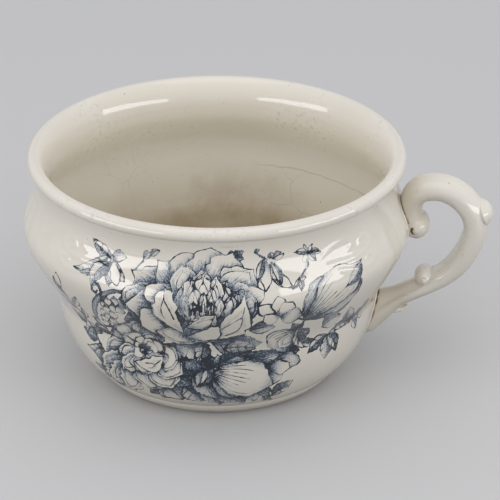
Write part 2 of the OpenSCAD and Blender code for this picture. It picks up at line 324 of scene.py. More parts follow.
def spray():
    """The printed spray from back to front. A leaf is its place on the sheet, aim in degrees, length, width,
    darkness and bow, which is .1 where none is given; a petal has its lip and bluntness as well. A stem is
    its width, darkness and points. The stems lie over the first 30 leaves."""
    rows = (
        # leaves and sprigs at the upper left
        (-62.5, 119.5, 154, 18, 7, .55, .05), (-65.5, 120.5, -148, 26.5, 9, .75, .16),
        (-63, 116.5, -121, 20, 9, .8, -.14), (-63.5, 120, 9, 10.5, 7, .5),
        (-64, 121, -80, 17, 6.5, .7, .1, 0, 1.45), (-63, 121, -52, 17, 7.5, .6, -.1, 0, 1.45),
        (-63.5, 121, -67, 18.5, 6, .75, 0, 0, 1.45),
        # small leaves along the top
        (0, 127.5, 152, 7.5, 4, 1), (1.5, 127.5, 113, 4.5, 4, 1), (9, 127.5, 31, 7, 5, .95),
        (8.5, 128.5, 107, 4, 3, .9), (10, 127.5, -17, 5, 4, .9), (-43, 123, 47, 7.5, 4.5, .5),
        (-39, 125.5, 37, 7.5, 4, .6), (21, 130, 19, 3.5, 2.5, .9), (21.5, 130, -55, 2, 2, .9),
        (31.5, 124.5, 100, 4.5, 4, 1), (32, 124.5, 17, 7, 5.5, .6),
        # sprigs at the left
        (-101, 78, 112, 15, 6, .8, .12), (-99, 72, 52, 15, 6, .75, -.12), (-98, 68, 148, 15, 6.5, .85),
        (-95, 61, 70, 13, 5.5, .8, -.1), (-93, 57, 158, 17, 7, .85, .12), (-89, 50, 64, 13, 6, .85, -.1),
        (-87, 47, 170, 16, 7, .9), (-103, 84, 84, 13, 6.5, .9, 0, 0, 1.2),
        (-82, 53, -164, 19.5, 9, .6, -.2), (-84.5, 44, -158, 20, 8, .7, .2), (-82, 33, 176, 13, 14.5, .9),
        (-88, 22, 176, 13.5, 6, .8), (-88.5, 13.5, 128, 7.5, 7.5, .9), (-76, 12, 178, 12.5, 7.5, .9),
        (-75, 60, 128, 12, 6, .9), (-73, 56, 176, 13, 6, .85, -.1),
        # scales inside the C-shaped scroll
        *alike((), (
            (-58, 97.5, -84, 8, 6, 1.1), (-63, 95.5, -80, 8, 6, 1.1),
            (-67, 91.5, -76, 8, 6, 1.1), (-53, 97, -88, 8, 6, 1),
            (-60.5, 91, -84, 8, 6, 1.1), (-65.5, 88, -80, 8, 6, 1.1),
            (-69.5, 84, -76, 8, 6, 1.1), (-56, 91.5, -88, 8, 6, 1),
            (-62.5, 84.5, -84, 8, 6, 1), (-67.5, 80.5, -80, 8, 6, 1.1),
            (-72, 76.5, -76, 7, 5.5, 1.1), (-65, 77, -84, 8, 6, 1)), 0, 0, 1.3),
        # dark ground leaves between the blooms
        (-34, 79.5, -177, 21.5, 28, .85, .05), (-34, 60, -81, 31.5, 25, 1),
        (-31, 60.5, -39, 31.5, 32, 1, .05), (-16.5, 55, -75, 27, 22, 1), (-27.5, 38.5, -57, 32, 29.5, 1),
        (-18.5, 63, -118, 19, 13, .55), (-26, 62, -40, 22, 19.5, .6, .12), (-9.5, 64, -104, 18.5, 10, .75),
        (-41, 24.5, -133, 17, 9.5, .9), (-37.5, 25, -110, 18, 11, .9), (-35, 24, -60, 15.5, 23, .5, .05),
        (-23.5, 26, -55, 19.5, 20, .9), (-11, 31, -65, 28.5, 20, .95), (-1.5, 26, -44, 30, 22.5, .9),
        (11, 19.5, -28, 38, 10, .8), (-17, 37, -54, 27, 19, 1), (-9, 40.5, -113, 15, 10.5, 1),
        (18, 23, -41, 26.5, 16, .7), (41, 11, 45, 19, 12.5, .9), (45.5, 17, -3, 8, 7.5, .8),
        # leaves under the rose on the right
        (18, 76.5, 4, 15, 12.5, .9), (-3.5, 64.5, -5, 31, 23.5, .68, -.06), (3.5, 58, -5, 20.5, 13.5, .36),
        (47.5, 50, 20, 10.5, 8, .95), (46, 48.5, -4, 9, 6, .9),
        # bud that lies under the rose
        (28, 40, -1, 29, 16.5, .75, .12, 0, 1.3), (29, 38.5, -34, 19, 16.5, .85, -.1, 0, 1.4),
        (30, 40, -12, 20.5, 11, .7, .05, 0, 1.4), (-6, 49.5, 3, 56, 12.5, .84, -.06),
        (-7.5, 40.5, 58, 14, 8, .9, -.35, .2, 1.2), (-6.5, 42, -7, 43.5, 18.5, .8, .05, 0, 1.2),
        (-6.5, 40, -48, 33, 24.5, .85, .12, 0, 1.3), (-7, 41, -20, 48.5, 30.5, .7, 0, 0, 1.25),
        (-7.5, 42, -113, 14.5, 7, 1, .2),
        # ruffled bloom at the lower left
        *alike((-48, 51.5), (
            (169, 26.5, 27.5, .75), (108, 25.5, 31.5, .6), (80, 31.5, 20, .7),
            (62, 30, 15, .7), (-163, 35, 19.5, .8), (-148, 50.5, 16, .8),
            (-134, 55, 16.5, .8), (-120, 52, 18.5, .75), (-92, 35.5, 25.5, .65),
            (-61, 33, 24.5, .7), (-32, 28.5, 25.5, .6), (-14, 23, 21, .7)), 0, .1, 1.8),
        *alike((-48, 51.5), (
            (169, 17.5, 19, .8), (104, 17, 20, .7), (64, 20, 12, .7), (33, 15.5, 15, .8),
            (-157, 23.5, 13.5, .8), (-135, 30.5, 12.5, .8), (-107, 22, 17.5, .7),
            (-54, 16, 20, .75)), 0, .12, 1.7),
        *alike((-48, 51.5), (
            (166, 8.5, 11.5, .9), (91, 11.5, 11.5, .9), (63, 13, 7, .9),
            (27, 9.5, 9.5, .95), (-142, 11, 8, .9)), 0, 0, 1.5),
        (-57.5, 40, 21, 23, 11.5, .6, -.2, .25, 1.1),
        *alike((-48.5, 49.5), (
            (137, 6, 4, 1.2), (94, 8, 3.5, 1.1), (72, 8.5, 3, 1.2), (48, 7, 3, 1.1),
            (93, 3, 3.5, 1.25), (-173, 4.5, 3.5, 1.1), (13, 2.5, 3.5, 1.25),
            (17, 6, 3.5, 1.2)), 0),
        # large open rose
        (-8.5, 95.5, 154, 44.5, 24, .75, 0, 0, 1.8), (-8.5, 97, 134, 37, 19, .65, 0, 0, 1.8),
        (-8.5, 97, 110, 36, 21, .75, 0, 0, 1.8), (-7.5, 97, 84, 37.5, 24, .5, 0, 0, 1.8),
        (-5.5, 97, 67, 36.5, 21, .65, 0, 0, 1.8), (-3.5, 96, 45, 33.5, 22.5, .75, .05, .1, 1.5),
        (-3.5, 93, 25, 32, 19, .9, .05, 0, 1.5), (-14, 89, 160, 42, 28, .7, .05, .08, 1.6),
        (-3.5, 91.5, 23, 27, 24, .7, -.05, .1, 1.5), (-13, 89, 172, 38, 25, .75, -.05, 0, 1.5),
        (-4.5, 88, -6, 24.5, 27, .75, -.12, .1, 1.6), (-14, 87, -160, 33, 29.5, .85, -.05, 0, 1.6),
        (-7.5, 92.5, -92, 28.5, 22.5, .8, 0, .1, 1.8), (-14, 89, -170, 19.5, 22, .7, .1, .1, 1.6),
        (-17, 88.5, -108, 28, 25, .7, 0, .1, 1.9), (-14, 87, -59, 25, 27.5, .8, .1, .1, 1.7),
        (-14, 89, 144, 33.5, 16.5, .8, -.05, 0, 1.6), (-12, 91, 105, 32, 16, .7, 0, .1, 1.6),
        (-7.5, 92.5, 93, 27.5, 15, .75, 0, .08, 1.6), (-5.5, 93, 63, 23.5, 13, .8, 0, .08, 1.5),
        (-3.5, 91.5, 48, 22, 11.5, .75, -.1, .1, 1.4),
        *alike((), (
            (-17, 86.5, 95, 24.5, 9, .39), (-12.5, 89, 96, 28, 10, .33),
            (2, 91.5, 83, 21, 9, .36), (-3, 91.5, 85, 25.5, 9.5, .33),
            (-8, 89.5, 90, 29, 11, .3), (-15.5, 87.5, 95, 19, 5.5, .44),
            (4.5, 91, 78, 15.5, 6.5, .39), (-5, 89.5, 84, 21.5, 6.5, .41),
            (-11, 89, 94, 22, 6.5, .44), (-8, 87.5, 89, 19.5, 5.5, .47),
            (-0.5, 89.5, 83, 15.5, 5, .44), (-14, 86.5, 86, 15.5, 4, .52),
            (-4.5, 88, 86, 14, 4, .52)), 0, .12, 1.25),
        (-18.5, 80.5, 36, 22, 11, .7, -.15, .15, 1.2), (-19.5, 73.5, 103, 39, 13, .65, .1, .14, 1.25),
        (-20, 71, 44, 47.5, 17.5, .6, -.28, .14, 1.35), (-18.5, 69.5, 36, 24, 12, .75, -.2, 0, 1.2),
        # pale star blossom beside it
        *alike((34, 87.5), (
            (142, 16, 9, .75), (96, 15, 8, 1), (56, 12, 10.5, .75), (-14, 14, 14, 1.2),
            (-161, 9.5, 12, .75)), 0, 0, 1.3),
        # half-open bud
        (51.5, 69, -146, 22.5, 15, .95, .2, 0, 1.1), (51, 68, -115, 19.5, 13.5, .95, -.2, 0, 1.1),
        (51.5, 69, -148, 24.5, 24, .8, 0, 0, 1.25), (51, 68.5, -126, 20, 13, .85, 0, .2, 1.2),
        (51.5, 69.5, 133, 12, 6, .9), (52, 69, -53, 11.5, 4, .9),
        # tall bud at the right
        (50.5, 79, 57, 36, 14.5, .7, .18, 0, 1.1), (51.5, 78.5, 30, 40.5, 18.5, .85, -.12, 0, 1.2),
        (50.5, 79, 39, 47.5, 25.5, .75, .06, 0, 1.2), (87.8, 108.2, 219, 17, 7, .95, .08),
        (50.5, 78, -44, 38.5, 8.5, .95, -.35), (68.5, 63.5, 32, 13.5, 21.5, .75, .15),
        (77.5, 52.5, -150, 18, 9.5, .95, -.1), (77.5, 52.5, -89, 18.5, 12, .9, .05),
        (77.5, 52.5, -57, 19.5, 8, .85), (78, 53, -2, 22, 8.5, .6, .2),
        # small sprigs at the far right
        (100.5, 55, 126, 25, 9, .8), (100.5, 55, 10, 8.5, 14.5, .85), (102, 53.5, -56, 11, 6.5, .8),
        (106, 57.5, 16, 10, 19.5, .8), (101.5, 55, 140, 16, 2.5, .8),
        # hanging pair of buds
        (27, 124.5, -93, 18, 6.5, .9, .05, 0, 1.15), (26, 125, -107, 14, 4.5, .9, 0),
        (30, 123, -56, 20.5, 7, .8, -.1, 0, 1.15), (30.5, 123, -75, 16, 4.5, .9),
        (46, 110.5, -90, 7.5, 3.5, .8), (45, 110, 0, 5.5, 3, .7), (45.5, 110.5, -128, 7, 2.5, .9),
        # star floret at the top right
        (53.5, 124, -12, 9, 4, .8), (53.5, 124, 58, 5.5, 2.4, 1, 0, 0, .7),
        (53.5, 124, 112, 6.5, 2, 1, 0, 0, .7), (53.5, 124, 168, 9, 3.6, .75, -.1),
        (53.5, 124, -124, 6.5, 4, .85, 0, 0, .85), (53.5, 124, -52, 7.5, 4.2, .8, 0),
        (52.5, 120.5, -111, 7, 2, .8),
    )
    stems = (
        (3.6, 1.0, (-52, 101.5), (-58.8, 100.2), (-64.1, 97), (-69.3, 92), (-73.2, 85.5), (-76.4, 78),
         (-78.6, 70.5), (-78, 65), (-74.5, 63)),
        (1.5, 1.1, (-67, 94), (-66.5, 98.5), (-68.6, 101.6), (-71.6, 100.8), (-72.4, 97.4), (-70, 96),
         (-68.8, 98.2)),
        (1.4, 1.1, (-74.5, 63), (-70.2, 65), (-69.3, 69.6), (-72.6, 71.6), (-74.2, 69), (-72.4, 68)),
        (1.3, 1.1, (-56.5, 90), (-53, 92), (-51, 96), (-53.4, 98), (-55, 95.8)),
        (1.2, 1.0, (-106, 92), (-102.5, 80), (-98.5, 69), (-93, 57), (-87, 46), (-82, 36), (-80, 24)),
        (1.0, 1.0, (-98.4, 47), (-95.6, 51.5), (-91, 53.5), (-89, 50.6), (-92, 48.6)),
        (0.9, 1.0, (-62, 117), (-64.5, 108), (-61, 102)),
        (0.9, 0.9, (-43, 122), (-47, 116), (-46, 110)),
        (1.1, 1.0, (50.5, 79), (45, 82.6), (40, 82), (34.5, 86.5)),
        (1.0, 1.0, (28.5, 124.5), (24, 127.5), (21, 130)),
        (1.0, 1.0, (53.5, 123), (52, 117), (47, 111.5)),
        (0.9, 1.0, (80, 60), (90, 58), (100, 55.5)),
        (1.0, 1.0, (36, 22), (42, 14), (47, 15.5)),
    )
    stems = [band(500 + k, *row) for k, row in enumerate(stems)]
    leaves = [petal(k, *row) for k, row in enumerate(rows)]
    return leaves[:30] + stems + leaves[30:]


def strokes(item):
    """The drawn lines of one petal or leaf, as (points, half width): its rim, a leaf's ribs, a petal's
    turned-over lip, which follows the rim a little inside it, and the fine lines up a bud's petal."""
    rng = np.random.default_rng(item["seed"] + 1000)
    length, half = item["length"], 0.5 * item["width"]
    drawn = [(np.concatenate([item["outline"], item["outline"][:1]]), 0.32 if length > 14 else 0.26)]
    if item["band"]:
        return drawn
    if item["leaf"]:
        t = np.linspace(0.0, 0.94, 24)
        drawn.append((to_sheet(item, t, 0 * t), 0.3))
        for start in np.arange(0.12, 0.8, 5.0 / length) if length > 16 else ():
            s = np.linspace(0, 1, 8)
            at = np.clip(start + 0.16 * s, 0, 1)
            rib = s ** 1.2 * 0.8 * half * np.sin(np.pi * at ** item["blunt"])
            drawn += [(to_sheet(item, at, rib), 0.2), (to_sheet(item, at, -rib), 0.2)]
    elif item["lip"] and length > 10:
        t = np.linspace(0.42, 0.97, 40)
        edge = half * np.sin(np.pi * t ** item["blunt"]) ** 0.78
        inset = np.clip(edge - item["lip"] * length * (0.35 + 0.65 * t), 0, None)
        t = t * (1 - 0.5 * item["lip"])
        drawn += [(to_sheet(item, t, inset), 0.24), (to_sheet(item, t, -inset), 0.24)]
    elif item["bud"]:
        for lean in np.linspace(-0.78, 0.78, int(item["width"] / 3.4)):
            t = np.linspace(0.08, rng.uniform(0.45, 0.8), 14)
            across = lean * half * np.sin(np.pi * t ** item["blunt"]) ** 0.78
            drawn.append((to_sheet(item, t, across), 0.16))
    return drawn


def paler_top_with_sheen(v, by):
    """Share of ink left at a height on the sheet: 1, and less by a share above 94 mm, over 18 mm. The print
    is paler there partly by its design and partly as painted sheen, where reflections in the glaze wash it
    out.
    """
    return 1 - by * np.clip((v - 94) / 18, 0, 1)


def petal_tone(item, along, across, rim):
    """Depth of wash on an item, from the place along it and across it and the distance from its rim. A stem
    is dark at its rim, a leaf on one half and at its base, and a petal at its base and sides. A bud is dark
    at its tip too, with streaks, and a turned-over lip is pale, with a shadow inside it."""
    if item["band"]:
        tone = 0.35 + 0.55 * np.exp(-rim / 0.5)
    elif item["leaf"]:
        tone = 0.54 + 0.24 * np.tanh(4 * across) - 0.24 * along
    else:
        tone = 0.66 * hump(np.clip(along, 0, None), 0, 0.25) + 0.12 * np.abs(across) ** 3 * (1 - along)
        tone += 0.05 * np.clip(0.9 - along, 0, 1)
        if item["bud"]:
            streaks = np.clip(np.sin(13 * across + 2 * along), 0, 1) * (1 - along)
            tone += 0.5 * hump(along, 1, 0.17) + 0.34 * np.abs(across) ** 3 + 0.2 * streaks
    tone = item["dark"] * tone
    if item["lip"]:
        wide = item["lip"] * 0.5 * item["length"]
        tone = tone * np.clip(rim / wide, 0.1, 1.0) + 0.22 * np.exp(-(rim - 1.15 * wide) ** 2) * (along > 0.4)
    return tone


def washed(points, items):
    """Lays the items over the sheet's points from back to front. Gives each point's tone, and its place
    across and along its item. An item casts a soft shade of two reaches on what it lies over. The shade and
    the larger petals' wash grow paler towards the top, partly by design and partly as painted sheen from
    reflections in the glaze."""
    wash = np.zeros((len(points), 3))
    covered = np.zeros(len(points), bool)
    # Partly painted sheen: the wash is made paler towards the top, partly by the print's own design.
    thinned_with_sheen = paler_top_with_sheen(points[:, 1], 0.3)
    for item in items:
        pick = near(points, item["outline"], 12.0)
        if not len(pick):
            continue
        in_it = within(points[pick], item["outline"])
        gap = away(points[pick], item["outline"])
        over, off = pick[~in_it], gap[~in_it]
        big = np.clip(item["length"] / 34.0, 0.25, 1.0) ** 1.5
        cast = 0.48 * np.exp(-off / 1.3) + 0.32 * np.exp(-off / (4.6 * big))
        cast = covered[over] * big * min(1.0, 0.15 + item["dark"]) * cast
        wash[over, 0] += thinned_with_sheen[over] * cast * (1 - 0.75 * np.clip(wash[over, 0], 0, 1))
        at, rim = pick[in_it], gap[in_it]
        along, across = (0 * rim, rim) if item["band"] else from_sheet(item, points[at])
        tone = petal_tone(item, along, across, rim)
        if not item["leaf"] and item["length"] > 15:
            tone = thinned_with_sheen[at] * tone
        wash[at] = np.stack([np.clip(tone, 0, 1.3), across, along], 1)
        covered[at] = True
    return wash


def seen_lines(items):
    """Points, sideways directions and half widths of the drawn lines that no later item covers. The lines are
    slimmer towards the top, partly by design and partly as painted sheen from reflections in the glaze."""
    low = np.stack([item["outline"].min(0) for item in items])
    high = np.stack([item["outline"].max(0) for item in items])
    lines, norms, halves = [], [], []
    for k, item in enumerate(items):
        touch = (low < high[k]).all(1) & (high > low[k]).all(1) & (np.arange(len(items)) > k)
        for path, half in strokes(item):
            line, norm = resample(path)
            seen = np.ones(len(line), bool)
            for j in np.flatnonzero(touch):
                pick = near(line, items[j]["outline"], 0.0)
                if len(pick):
                    seen[pick] &= ~within(line[pick], items[j]["outline"])
            lines.append(line[seen])
            norms.append(norm[seen])
            halves.append(half * paler_top_with_sheen(line[seen, 1], 0.36))
    return np.concatenate(lines), np.concatenate(norms), np.concatenate(halves)


def ink(u, v, items):
    """The print over a grid of sheet points: the side distance, plain distance and half width of the nearest
    drawn line at each point, found among the 36 grid points about each point of a line; and the wash."""
    points = np.stack(np.meshgrid(u, v), 2).reshape(-1, 2)
    line, norm, half = seen_lines(items)
    col, row = np.searchsorted(u, line[:, 0]), np.searchsorted(v, line[:, 1])
    found = []
    for down, right in np.ndindex(6, 6):
        r, c = row + down - 3, col + right - 3
        ok = (r >= 0) & (r < len(v)) & (c >= 0) & (c < len(u))
        r, c = r[ok], c[ok]
        off = np.stack([u[c], v[r]], 1) - line[ok]
        found.append(np.stack([r * len(u) + c, (off * norm[ok]).sum(1), np.hypot(*off.T), half[ok]], 1))
    found = np.concatenate(found)
    found = found[np.argsort(-found[:, 2], kind="stable")]
    drawn = np.tile(NO_LINE, (len(points), 1))
    drawn[found[:, 0].astype(int)] = found[:, 1:]
    return drawn.reshape(len(v), len(u), 3), washed(points, items).reshape(len(v), len(u), 3)


def sprig(items):
    """The smaller sprig on the back: the sheet's ruffled bloom and the leaves near it, moved to the middle of
    the back, with three twigs and their buds behind it."""
    twigs = (((-8, 84), (-20, 96), (-36, 104)), ((8, 84), (26, 96), (40, 95)), ((10, 60), (22, 48), (38, 44)))
    stems = [band(730 + k, 1.3, 1.0, *points) for k, points in enumerate(twigs)]
    leaves = [petal(740 + k, *row) for k, row in enumerate((
        (-36, 104, 150, 15, 8, .8, 0, 0, 1.2), (-24, 99, 75, 15, 7, .9), (-20, 95, -160, 17, 8, .9),
        (40, 95, 10, 14, 8, .8, 0, 0, 1.2), (26, 95, 70, 15, 7, .9, -.1), (24, 93, -25, 17, 7, .85, -.1),
        (38, 44, -10, 13, 8, .8, 0, 0, 1.2), (22, 48, -80, 14, 7, .9), (0, 92, 88, 24, 11, .9),
        (-4, 90, 125, 26, 11, .9), (6, 90, 52, 24, 11, .9, -.1), (-20, 76, 172, 26, 12, .9)))]
    moved = []
    for item in items:
        middle = item["outline"].mean(0)
        if -76 < middle[0] < -19 and 22 < middle[1] < 74 and not item["band"]:
            moved.append(dict(item, outline=item["outline"] + (45, 25), base=item["base"] + (45, 25)))
    return stems + leaves + moved


line_field = np.tile(NO_LINE, (len(rows_up), n_column, 1))
wash_field = np.zeros((len(rows_up), n_column, 3))
sheet = spray()
for middle, ends, items in ((FRONT, FRONT_ENDS, sheet), (BACK, BACK_ENDS, sprig(sheet))):
    across = np.flatnonzero((columns >= ends[0]) & (columns <= ends[1]))
    u = SHEET_R * np.radians(columns[across] - middle)
    line_field[:, across], wash_field[:, across] = ink(u, rows_up, items)
front_u = SHEET_R * np.radians(columns - FRONT)
# A band of ink wash just under the front of the rim: partly an ink smudge, partly painted shade under the
# roll.
wash_field[..., 0] += 0.30 * hump(front_u[None, :], 6, 11) * hump(rows_up[:, None], 134.6, 1.0)
rest = len(bowl_points) - n_wall
line_field = np.concatenate([line_field.reshape(-1, 3), np.tile(NO_LINE, (rest, 1))])
wash_field = np.concatenate([wash_field.reshape(-1, 3), np.zeros((rest, 3))])
depth = np.clip((lip_in[1] - mouth_points[..., 2].ravel()) / (lip_in[1] - heel[1]), 0.02, 1.0)
hold(bowl.data, "ink_line", "FLOAT_VECTOR", line_field)
hold(bowl.data, "ink_wash", "FLOAT_VECTOR", wash_field)
hold(bowl.data, "mouth_depth", "FLOAT", np.r_[np.zeros(n_wall), depth, np.zeros(n_under), 1.0, 0.0])


class Nodes:
    """The nodes of one material or group. Most calls place a node and give the socket that it puts out."""

    def __init__(self, tree):
        self.tree = tree

    def feed(self, socket, value):
        """Gives an input a link or a plain value."""
        if isinstance(value, bpy.types.NodeSocket):
            self.tree.links.new(value, socket)
        else:
            socket.default_value = value

    def put(self, kind, given=None, **settings):
        """Places a node, sets its settings and feeds its inputs."""
        made = self.tree.nodes.new(kind)
        for key, value in settings.items():
            setattr(made, key, value)
        for key, value in (given or {}).items():
            self.feed(made.inputs[key], value)
        return made

    def math(self, way, a, b=0.0, c=0.0, clamp=False):
        """One sum on up to three values or sockets."""
        return self.put("ShaderNodeMath", {0: a, 1: b, 2: c}, operation=way, use_clamp=clamp).outputs[0]

    def times(self, a, b, clamp=False):
        """One value times another."""
        return self.math("MULTIPLY", a, b, clamp=clamp)

    def ramped(self, value, low, high, start=0.0, end=1.0):
        """A value carried smoothly from start, at low and under, to end, at high and over."""
        given = {"Value": value, "From Min": low, "From Max": high, "To Min": start, "To Max": end}
        return self.put("ShaderNodeMapRange", given, interpolation_type="SMOOTHSTEP").outputs[0]

    def tinted(self, share, a, b):
        """Colour a mixed with colour b by a share."""
        return self.put("ShaderNodeMix", {0: share, 6: a, 7: b}, data_type="RGBA").outputs[2]

    def noise(self, at, scale, detail, rough=0.5, out="Fac"):
        """A cloudy value between 0 and 1, or a cloudy colour."""
        given = {"Vector": at, "Scale": scale, "Detail": detail, "Roughness": rough}
        return self.put("ShaderNodeTexNoise", given).outputs[out]

    def spot(self):
        """The place on the piece, in metres."""
        return self.put("ShaderNodeTexCoord").outputs["Object"]

    def parts(self, vector):
        """The three parts of a place or vector."""
        return self.put("ShaderNodeSeparateXYZ", {0: vector}).outputs

    def far(self, at, point):
        """Distance from a point."""
        return self.put("ShaderNodeVectorMath", {0: at, 1: point}, operation="DISTANCE").outputs["Value"]

    def held(self, name, out="Fac"):
        """What the mesh holds for each vertex under a name."""
        return self.put("ShaderNodeAttribute", attribute_name=name).outputs[out]


def shade(red, green, blue):
    """A colour written in 0 to 255 screen values, as the shader's linear red, green, blue and 1."""
    c = np.array([red, green, blue]) / 255.0
    return (*np.where(c < 0.04045, c / 12.92, ((c + 0.055) / 1.055) ** 2.4).tolist(), 1.0)


aged_glaze = bpy.data.node_groups.new("aged_glaze", "ShaderNodeTree")
for way, sockets in (("INPUT", (("Colour", "Color"), ("Stain Colour", "Color"), ("Stain", "Float"),
                                ("Crazing", "Float"), ("Scuff", "Float"), ("Grime", "Float"))),
                     ("OUTPUT", (("Colour", "Color"), ("Roughness", "Float"), ("Height", "Float")))):
    for name, kind in sockets:
        aged_glaze.interface.new_socket(name, in_out=way, socket_type="NodeSocket" + kind)
age = Nodes(aged_glaze)
given = age.put("NodeGroupInput").outputs
place = age.spot()
cloud = age.noise(place, 24.0, 4.0)
grain = age.noise(place, 170.0, 3.0)
rub = age.noise(place, 330.0, 5.0, 0.7)
ripple = age.noise(place, 95.0, 1.0)
dirt = age.noise(place, 210.0, 4.0)
big, small = (age.put("ShaderNodeTexVoronoi", {"Vector": place, "Scale": s}).outputs for s in (120.0, 330.0))
pick_big, pick_small = (age.put("ShaderNodeSeparateColor", {0: c["Color"]}).outputs[0] for c in (big, small))
speck = age.times(age.ramped(big["Distance"], 0.03, 0.07, 1.0, 0.0), age.ramped(pick_big, 0.86, 0.9))
pitted = age.math("MULTIPLY_ADD", given["Scuff"], age.ramped(cloud, 0.42, 0.58, 0.0, 0.42), pick_small)
dust = age.times(age.ramped(small["Distance"], 0.06, 0.15, 1.0, 0.0), age.ramped(pitted, 0.88, 0.96))
bent = age.noise(place, 30.0, 3.0, out="Color")
bend = age.put("ShaderNodeVectorMath", {0: bent, 1: (0.014, 0.014, 0.014)}, operation="MULTIPLY").outputs[0]
craze_at = age.put("ShaderNodeVectorMath", {0: place, 1: bend}).outputs[0]
craze_edge = age.put("ShaderNodeTexVoronoi", {"Vector": craze_at, "Scale": 33.0}, feature="DISTANCE_TO_EDGE")
craze_here = age.ramped(age.noise(place, 11.0, 2.0), 0.38, 0.56, 0.25, 1.0)
craze = age.times(age.ramped(craze_edge.outputs["Distance"], 0.0, 0.014, 1.0, 0.0), craze_here)
craze = age.times(craze, given["Crazing"])
scuff = age.times(age.ramped(rub, 0.52, 0.70), age.ramped(cloud, 0.48, 0.62))
scuff = age.times(scuff, given["Scuff"])
stain = age.times(given["Stain"], age.ramped(cloud, 0.3, 0.7, 0.7, 1.15), clamp=True)
grime = age.times(given["Grime"], age.ramped(dirt, 0.34, 0.60, 0.35, 1.0), clamp=True)
paint = given["Colour"]
for share, colour in (
        (age.ramped(cloud, 0.35, 0.68, 0.10, 0.0), shade(196, 184, 160)), (stain, given["Stain Colour"]),
        (age.times(craze, 0.30), shade(150, 124, 92)), (age.times(speck, 0.75), shade(84, 66, 48)),
        (age.times(dust, 0.42), shade(104, 94, 82)), (age.times(scuff, 0.42), shade(146, 142, 136)),
        (age.ramped(grime, 0.05, 0.5), shade(150, 126, 94)),
        (age.ramped(grime, 0.35, 0.9), shade(52, 39, 27))):
    paint = age.tinted(share, paint, colour)
dull = age.math("MULTIPLY_ADD", scuff, 0.30, age.math("MULTIPLY_ADD", grain, 0.06, 0.02))
high = age.math("ADD", age.times(cloud, 1.2), age.times(grain, 0.12))
high = age.math("MULTIPLY_ADD", ripple, 0.26, high)
high = age.math("SUBTRACT", high, age.times(age.math("ADD", speck, craze), 0.12))
age.put("NodeGroupOutput", {"Colour": paint, "Roughness": dull, "Height": high})
cream = shade(230, 225, 214)


def glaze(name, stain_colour, scuffs, crazing=0.0):
    """A clear glossy cream glaze over pale clay, aged by the shared group. Gives the material, its nodes and
    the group's node."""
    made = bpy.data.materials.new(name)
    made.use_nodes = True
    nodes = Nodes(made.node_tree)
    values = {"Colour": cream, "Stain Colour": stain_colour, "Crazing": crazing, "Scuff": scuffs}
    aged = nodes.put("ShaderNodeGroup", values, node_tree=aged_glaze)
    ripples = {"Height": aged.outputs["Height"], "Strength": 0.35, "Distance": 0.0005}
    bump = nodes.put("ShaderNodeBump", ripples)
    for key, value in (("IOR", 1.58), ("Base Color", aged.outputs["Colour"]),
                       ("Roughness", aged.outputs["Roughness"]), ("Normal", bump.outputs[0])):
        nodes.feed(made.node_tree.nodes["Principled BSDF"].inputs[key], value)
    return made, nodes, aged


bowl_paint, nodes, aged = glaze("printed_glaze", shade(176, 160, 132), 0.35)
# The inner and well creams are painted light: the inside glaze is made paler than the outside one, to lift
# the shade inside the bowl.
inner_painted_light, well_painted_light, brown_soil = shade(250, 247, 235), shade(238, 233, 218), shade(150, 116, 78)
pale_ink, deep_ink = shade(99, 119, 141), shade(16, 27, 39)
spot = nodes.spot()
deep = nodes.held("mouth_depth")
in_bowl = nodes.ramped(deep, 0.0, 0.02)
stained = nodes.times(nodes.ramped(deep, 0.2, 0.85, 0.0, 0.85), nodes.ramped(deep, 0.86, 0.97, 1.0, 0.4))
scuffed = nodes.times(nodes.ramped(deep, 0.0, 0.02, 0.22, 1.0), nodes.ramped(deep, 0.12, 0.34, 1.0, 0.35))
stars = [nodes.far(spot, at) for at in ((-0.072, 0.077, 0.078), (0.045, 0.087, 0.063))]
crazed = nodes.times(in_bowl, nodes.ramped(nodes.math("MINIMUM", *stars), 0.014, 0.032, 1.0, 0.0))
# Painted light: the inside is paler than the outside glaze, most just under the lip, against the shade under
# the neck and deeper down.
lined_painted_light = nodes.tinted(nodes.ramped(deep, 0.02, 0.14), cream, inner_painted_light)
lined_painted_light = nodes.tinted(nodes.ramped(deep, 0.35, 0.62), lined_painted_light, well_painted_light)
for key, value in (("Stain", stained), ("Scuff", scuffed), ("Crazing", crazed), ("Colour", lined_painted_light)):
    nodes.feed(aged.inputs[key], value)
blot = nodes.noise(spot, 42.0, 5.0, 0.65)
blot_reach = nodes.ramped(nodes.far(spot, (-0.004, 0.088, 0.040)), 0.012, 0.065, 0.34, 0.0)
brown = nodes.times(blot_reach, nodes.ramped(blot, 0.36, 0.70))
toward_handle, _, up_bowl = nodes.parts(spot)
tide_at = nodes.math("SUBTRACT", nodes.math("MULTIPLY_ADD", blot, 0.006, up_bowl), 0.0875)
tide = nodes.ramped(nodes.math("ABSOLUTE", tide_at), 0.0002, 0.0007, 0.24, 0.0)
tide = nodes.times(tide, nodes.ramped(toward_handle, 0.0, 0.03))
soil = nodes.times(in_bowl, nodes.math("MAXIMUM", brown, tide))
soiled = nodes.tinted(soil, aged.outputs["Colour"], brown_soil)
aside, off, half_width = nodes.parts(nodes.held("ink_line", "Vector"))
wash, wash_across, wash_along = nodes.parts(nodes.held("ink_wash", "Vector"))
press = nodes.noise(spot, 300.0, 2.0)
stipple = nodes.noise(spot, 1500.0, 1.0)
weight = nodes.noise(spot, 95.0, 1.0)
half_width = nodes.times(half_width, nodes.ramped(press, 0.3, 0.7, 0.5, 1.4))
half_width = nodes.times(half_width, nodes.ramped(weight, 0.34, 0.66, 0.35, 1.8))
edge = nodes.math("SUBTRACT", half_width, nodes.math("ABSOLUTE", aside))
beyond = nodes.math("SUBTRACT", off, half_width)
stroke = nodes.times(nodes.ramped(edge, -0.14, 0.14), nodes.ramped(beyond, 0.30, 0.48, 1.0, 0.0))
